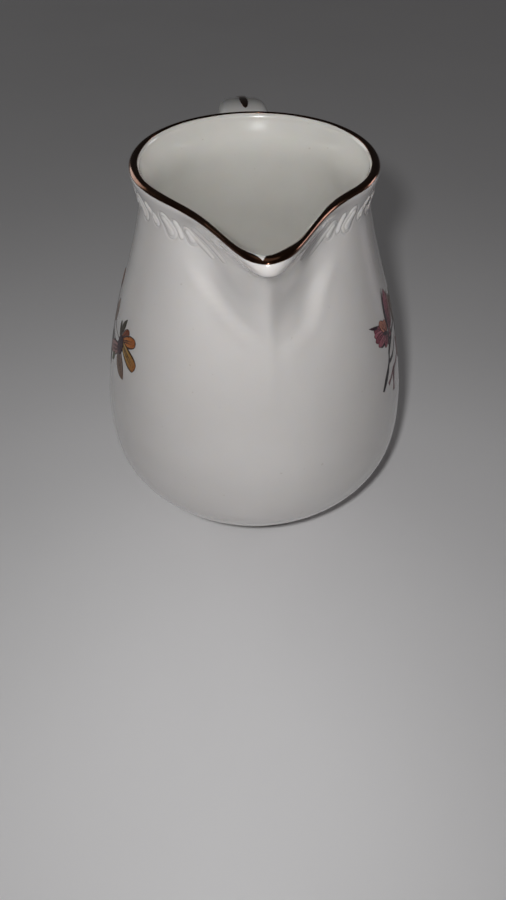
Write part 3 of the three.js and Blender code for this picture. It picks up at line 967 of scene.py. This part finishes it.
# Petals and leaves: ink, layer, base and tip as (across, height), width, how far the middle bows
# to the left of the way from base to tip, where the petal is widest, how wide its base is as a
# share of its width, and how pointed its tip is (0.5 is round, 1 is a point).
PETALS = [
    ("leaf_green", 0, (-2, 60), (-4.4, 68.6), 3.4, 0.6, 0.45, 0.2, 0.9),
    ("pale_brown", 0, (1.2, 59.6), (4.6, 68), 3.1, -0.6, 0.45, 0.2, 0.9),
    ("leaf_green", 0, (-5, 57.8), (-1.4, 49.2), 3.2, 0.6, 0.42, 0.2, 0.9),
    ("dark_green", 0, (2.4, 57.6), (5.6, 48.6), 2.8, -0.5, 0.45, 0.2, 0.9),
    ("dusty_rose", 0, (-8.6, 56.4), (-7, 48.4), 2.4, -0.4, 0.4, 0.25, 0.9),
    ("orange", 1, (0.2, 68.6), (0.8, 74), 2.8, 0.2, 0.4, 0.35, 0.8),
    ("rust", 2, (0.4, 68.4), (-0.8, 72.8), 1.5, 0.3, 0.4, 0.4, 0.9),
    # the orange flower
    ("dark_green", 1, (11.2, 61.4), (13.4, 67.6), 1.7, 0.2, 0.55, 0.3, 0.9),
    ("dark_green", 2, (10.9, 61.6), (10.4, 65.6), 1.3, 0.1, 0.5, 0.3, 0.8),
    ("dusty_rose", 1, (11.8, 58.4), (3.6, 54), 4, 0.4, 0.5, 0.5, 0.6),
    ("leaf_green", 1, (9.2, 55.2), (7.2, 51.8), 1.8, 0.2, 0.5, 0.3, 0.8),
    ("rust", 3, (12.6, 61.6), (15.7, 65.7), 2.7, -0.1, 0.6, 0.45, 0.5),
    ("taupe", 2, (12.5, 58.2), (17.4, 52.4), 4.4, -0.8, 0.42, 0.5, 0.8),
    ("orange", 4, (12.8, 61.2), (19.6, 64.6), 3.3, 0.1, 0.6, 0.4, 0.42),
    ("ochre", 5, (13.8, 60.9), (21.7, 58.3), 4.1, -0.1, 0.68, 0.5, 0.32),
    ("plum", 7, (12.7, 62.4), (12, 57), 3.8, 0.1, 0.45, 0.5, 0.5),
    # the maroon blossom and the bud above it
    ("taupe", 1, (-8, 60.6), (-7.3, 68.6), 2.4, -0.5, 0.6, 0.3, 0.8),
    ("pale_brown", 1, (-4.6, 57.6), (-5.4, 66.8), 1.8, 0.4, 0.55, 0.3, 1),
    ("rose", 2, (-12.6, 62.2), (-10.9, 72.4), 5.4, 0.4, 0.42, 0.5, 0.9),
    ("dusty_rose", 3, (-10.8, 62.6), (-9.4, 70.8), 2.4, -0.3, 0.5, 0.5, 0.9),
    ("plum", 4, (-14.2, 62.8), (-12.4, 73.4), 1.3, 0.9, 0.4, 0.5, 1),
    ("maroon", 4, (-11.9, 62.2), (-11.2, 69.6), 1.1, 0.1, 0.4, 0.5, 1),
    ("maroon", 3, (-16.4, 64.4), (-21.7, 67.2), 2.5, 0.1, 0.6, 0.5, 0.5),
    ("rose", 4, (-16.3, 63.9), (-22.2, 65.9), 2.1, 0.1, 0.6, 0.5, 0.5),
    ("maroon", 5, (-16.2, 63.5), (-22.3, 64.3), 2.2, -0.1, 0.6, 0.5, 0.5),
    ("rose", 6, (-16, 63.1), (-21.6, 62.6), 2.1, 0.1, 0.6, 0.5, 0.5),
    ("plum", 4, (-16, 62.9), (-20.6, 61.7), 2, 0.1, 0.6, 0.5, 0.55),
    ("maroon", 5, (-15.6, 62.8), (-18.5, 60.2), 2.1, 0.1, 0.6, 0.5, 0.55),
    ("plum", 4, (-15, 62.4), (-16.3, 59.5), 1.9, 0.1, 0.6, 0.5, 0.6),
    ("maroon", 3, (-14.5, 62.6), (-13.5, 60.5), 1.9, 0.1, 0.5, 0.5, 0.55),
    ("rosy_brown", 7, (-15.9, 62.9), (-18.6, 67.7), 2.5, -0.1, 0.6, 0.5, 0.5),
    ("rosy_brown", 8, (-15.5, 63.2), (-16.2, 66.9), 2, 0.1, 0.6, 0.5, 0.5),
    ("plum", 9, (-15.3, 62.8), (-18.2, 64.4), 1.1, 0.2, 0.4, 0.5, 0.9),
    ("plum", 8, (-19.8, 67.1), (-23.3, 68.7), 0.9, 0.1, 0.3, 0.8, 1),
]

# Stems: ink, width and the points, as (across, height), that they pass.
STEMS = [
    ("stem_black", 1.65, [(-23.7, 49.8), (-18, 55.5), (-16.7, 57.9), (-13.5, 60.2)]),
    ("stem_black", 0.9, [(-13.9, 60.1), (-10.8, 60.9), (-4, 59.8), (1, 58.4)]),
    ("stem_black", 1.1, [(-18.1, 55.3), (-16, 55.2), (-13.9, 55.6), (-11, 57), (-6, 58.2), (1, 58.4)]),
    ("stem_black", 0.7, [(-13.4, 59.2), (-12.6, 61), (-12.4, 63)]),
    ("stem_black", 0.7, [(1, 58.4), (5, 57.8), (9, 58.4), (12, 59.8)]),
    ("stem_grey", 0.6, [(-1, 59), (0.4, 63.6), (0.3, 68.8)]),
    ("twig_rose", 1.5, [(-12.7, 51.4), (-15.5, 51.4), (-20.3, 49.8)]),
    ("twig_rose", 1.5, [(-14.6, 51.5), (-15.9, 50), (-17.2, 45.6)]),
    ("twig_rose", 1.3, [(-5.2, 55.4), (-8.6, 53), (-10.6, 51.8), (-12.9, 51.4)]),
    ("stem_grey", 0.5, [(0.2, 65), (4.2, 61.4), (10.6, 60.4)]),
    ("stem_grey", 0.5, [(-1, 58.2), (2, 57), (5.4, 56.4)]),
]


def ink_material(name, base, middle, tip, outline, veins):
    """One printed colour: shaded from base to tip, with fine veins and a brushed outline.

    The UV map runs across a petal in U and from its base to its tip in V.
    """
    n = Nodes(name)
    place = n.object_place()
    chart = n.add("ShaderNodeSeparateXYZ")
    n.link(n.add("ShaderNodeTexCoord").outputs["UV"], chart.inputs[0])
    across, along = chart.outputs["X"], chart.outputs["Y"]
    waver = n.math("MULTIPLY", n.math("SUBTRACT", n.noise(place, 700, 2), 0.5), 0.22)
    shades = [(0.0, base), (0.45, middle), (0.9, tip)]
    tone = n.ramp(n.math("ADD", along, waver), shades)

    # Grain of the pigment.
    pigment = n.noise(place, 1500, 3, 0.7)
    tone = n.mix(n.between(pigment, 0.35, 0.75, 0.0, 0.4), tone, middle)

    # Veins on both sides of the middle, which fade out towards the tip.
    centre = n.math("ABSOLUTE", n.math("SUBTRACT", n.math("MULTIPLY", across, 2.0), 1.0))
    rib = n.math("SINE", n.math("MULTIPLY", n.math("ADD", centre, waver), veins * math.pi))
    rib = n.math("MULTIPLY", n.between(rib, 0.3, 0.7), n.between(along, 0.9, 0.45, 0.0, 0.9))
    tone = n.mix(rib, tone, outline)

    # The outline.
    edge = n.between(n.math("ADD", centre, waver), 0.76, 0.86)
    end = n.between(n.math("ADD", along, n.math("MULTIPLY", waver, 0.4)), 0.93, 0.985)
    n.put(n.shader, "Base Color", n.mix(n.math("MAXIMUM", edge, end), tone, outline))

    matt = n.between(pigment, 0.3, 0.7, INK_MATT - 0.08, INK_MATT + 0.1)
    n.put(n.shader, "Roughness", matt)
    n.put(n.shader, "Normal", n.bump(pigment, 0.000008))
    n.put(n.shader, "IOR", 1.5)
    n.put(n.shader, "Specular IOR Level", 0.25)
    return n.material


INKS = {
    ink: ink_material(f"ink_{ink}", *[colour(*shade) for shade in shades], veins)
    for ink, (*shades, veins) in INK_COLOURS.items()
}


def petal_line(base, tip, bow):
    """Points from base to tip of a petal whose middle bows sideways, and their share of the way."""
    base, tip = np.array(base, float), np.array(tip, float)
    way = tip - base
    share = np.linspace(0, 1, PETAL_ROWS)
    left = np.array((-way[1], way[0])) / np.hypot(*way)
    line = base + way * share[:, None] + left * (bow * np.sin(math.pi * share))[:, None]
    return line, share


def petal_width(share, width, widest, base_share, point):
    swelling = np.sin(0.5 * math.pi * np.minimum(share / widest, 1))
    fall = np.clip((share - widest) / (1 - widest), 0, 1)
    outline = (base_share + (1 - base_share) * swelling) * (1 - fall**2) ** point
    return np.maximum(outline * width, NARROWEST_PETAL)


def across_line(line):
    """The direction to the right of a line at each of its points."""
    way = np.gradient(line, axis=0)
    way /= np.hypot(way[:, 0], way[:, 1])[:, None]
    return np.stack([way[:, 1], -way[:, 0]], -1)


def on_flank(side, chart, lift):
    """Points on a flank of the jug, from (across, height) on its wall."""
    height = chart[..., 1]
    radius = outer_radius(height)
    angle = side * math.pi / 2 + chart[..., 0] / radius
    return draw_spout(on_round(radius + lift, angle, height))


def ink_patch(side, line, widths, layer, columns):
    """A thin closed film along a line on the wall: its points, faces and UVs."""
    across = np.linspace(-0.5, 0.5, columns)
    chart = line[:, None] + across_line(line)[:, None] * (widths[:, None] * across)[..., None]
    low = INK_LIFT + INK_LAYER * layer
    over = on_flank(side, chart, low + INK_FILM)
    under = on_flank(side, chart[:, ::-1], low)
    points = np.concatenate([over, under], axis=1)
    u = np.concatenate([across, across[::-1]]) + 0.5
    v = np.linspace(0, 1, len(line))
    uvs = np.stack(np.broadcast_arrays(u[None, :], v[:, None]), -1)
    faces = tube_faces(len(line), 2 * columns)
    return points.reshape(-1, 3), faces, uvs.reshape(-1, 2)


def spray_patches(side):
    """The ink and the film of every stem and petal on one flank."""
    for ink, width, stops in STEMS:
        line = path_points(stops, STEM_ROWS)[:, 1:]
        share = np.linspace(0, 1, STEM_ROWS)
        widths = width * (0.75 + 0.25 * np.cos(9 * share + len(stops)))
        yield ink, ink_patch(side, line, widths, 0, STEM_COLUMNS)
    for ink, layer, base, tip, width, bow, widest, base_share, point in PETALS:
        line, share = petal_line(base, tip, bow)
        widths = petal_width(share, width, widest, base_share, point)
        yield ink, ink_patch(side, line, widths, layer + 1, PETAL_COLUMNS)


def build_spray(name, side, node):
    numbers_of = {ink: number for number, ink in enumerate(INKS)}
    points, faces, uvs, numbers = [], [], [], []
    start = 0
    for ink, (patch_points, patch_faces, patch_uvs) in spray_patches(side):
        points.append(patch_points)
        uvs.append(patch_uvs)
        faces += [[corner + start for corner in face] for face in patch_faces]
        numbers += [numbers_of[ink]] * len(patch_faces)
        start += len(patch_points)
    points, uvs = np.concatenate(points), np.concatenate(uvs)
    inks = list(INKS.values())
    make_piece(name, points, faces, inks, [node], numbers, uvs)


# ---------------------------------------------------------------------------------------------
# Floor, room, lights and camera, in metres
# ---------------------------------------------------------------------------------------------

# What the room lights the jug with, and what it looks like past the floor. Between two distances from
# the jug the far floor glows up to the same look, for the camera only: painted light that lights
# nothing.
ROOM_LIGHT = 0.024
ROOM_TONE = 0.2
FLOOR_GLOW_RANGE = (0.65, 1.7)
FLOOR_HALF = 3.0
FLOOR_GAP = 0.00002
WHITE = colour(1, 1, 1)

JUG_MIDDLE = ((cad_bounds[0][0] + cad_bounds[1][0]) / 2, AXIS_Y * MM, HEIGHT * MM / 2)

# Each light: where it stands, how wide its disk is, its power and its tint. The key is a small
# hard light beside the camera, and the others are soft.
LIGHTS = {
    "key": ((-0.0226, -0.1488 + AXIS_Y * MM, 0.1782), 0.01, 0.2, (1, 1, 1)),
    "top": ((-0.1, 0.1, 1.0), 0.7, 0.25, (1, 1, 1)),
    "back": ((-1.5, 1.5, 0.6), 1.2, 5.2, (1, 1, 1)),
    "right": ((1.74, 0.96, 0.4), 0.6, 2.8, (0.99, 0.92, 0.96)),
}

CAMERA_LENS = 27.04
CAMERA_PLACE = (-0.0087, -0.14554 + AXIS_Y * MM, 0.16315 + BASE_Z * MM)
CAMERA_TILT = math.radians(43.0)
CAMERA_PAN = math.radians(-3.3)
CAMERA_CLIP = 0.01


def floor_material():
    """A pale floor. Past the lights' reach it glows, for the camera only, up to the room's tone: painted
    light that lights nothing.
    """
    n = Nodes("pale_floor")
    place = n.object_place()
    reach = n.add("ShaderNodeVectorMath", operation="LENGTH")
    n.link(place, reach.inputs[0])
    # The far floor's glow: painted light, seen by the camera and lighting nothing.
    far = n.between(reach.outputs["Value"], *FLOOR_GLOW_RANGE, 0.0, ROOM_TONE - ROOM_LIGHT)
    seen = n.add("ShaderNodeLightPath").outputs["Is Camera Ray"]
    n.put(n.shader, "Emission Color", WHITE)
    n.put(n.shader, "Emission Strength", n.math("MULTIPLY", far, seen))
    dull, bright = colour(0.795, 0.785, 0.79), colour(0.825, 0.815, 0.82)
    tone = n.ramp(n.noise(place, 9, 4), [(0.3, dull), (0.7, bright)])
    n.put(n.shader, "Base Color", tone)
    n.put(n.shader, "Roughness", 0.42)
    n.put(n.shader, "Specular IOR Level", 0.3)
    return n.material


def build_floor():
    mesh = bpy.data.meshes.new("floor")
    shaped = bmesh.new()
    bmesh.ops.create_grid(shaped, x_segments=8, y_segments=8, size=FLOOR_HALF)
    shaped.to_mesh(mesh)
    shaped.free()
    mesh.materials.append(floor_material())
    floor = bpy.data.objects.new("floor", mesh)
    floor.location = (0, 0, body_low.z - FLOOR_GAP)
    bpy.context.scene.collection.objects.link(floor)


def build_room():
    """A dim, even room. Its own tone, where it is seen past the floor, is paler than its light."""
    world = bpy.data.worlds.new("room")
    world.use_nodes = True
    tree = world.node_tree
    background = tree.nodes["Background"]
    background.inputs["Color"].default_value = WHITE
    seen = tree.nodes.new("ShaderNodeLightPath")
    strength = tree.nodes.new("ShaderNodeMapRange")
    strength.inputs["To Min"].default_value = ROOM_LIGHT
    strength.inputs["To Max"].default_value = ROOM_TONE
    tree.links.new(seen.outputs["Is Camera Ray"], strength.inputs["Value"])
    tree.links.new(strength.outputs["Result"], background.inputs["Strength"])
    bpy.context.scene.world = world


def area_light(name, place, size, power, tint):
    """A disk of light that faces the middle of the jug."""
    light = bpy.data.lights.new(name, "AREA")
    light.shape = "DISK"
    light.size = size
    light.energy = power
    light.color = tint
    lamp = bpy.data.objects.new(name, light)
    lamp.location = place
    bpy.context.scene.collection.objects.link(lamp)
    direction = Vector(JUG_MIDDLE) - lamp.location
    lamp.rotation_euler = direction.to_track_quat("-Z", "Y").to_euler()


def build_camera():
    lens = bpy.data.cameras.new("camera")
    lens.lens = CAMERA_LENS
    lens.clip_start = CAMERA_CLIP
    camera = bpy.data.objects.new("camera", lens)
    camera.location = CAMERA_PLACE
    camera.rotation_euler = (CAMERA_TILT, 0, CAMERA_PAN)
    bpy.context.scene.collection.objects.link(camera)
    bpy.context.scene.camera = camera


build_body()
build_rim_gilding()
build_handle()
build_slip("upper")
build_slip("lower")
build_handle_gilding()
build_spray("flower_left", -1, "flower_transfer_left")
build_spray("flower_right", 1, "flower_transfer_right")

build_floor()
for name, settings in LIGHTS.items():
    area_light(name, *settings)
build_room()
bpy.context.scene.view_settings.view_transform = "Standard"
build_camera()

bpy.context.view_layer.update()
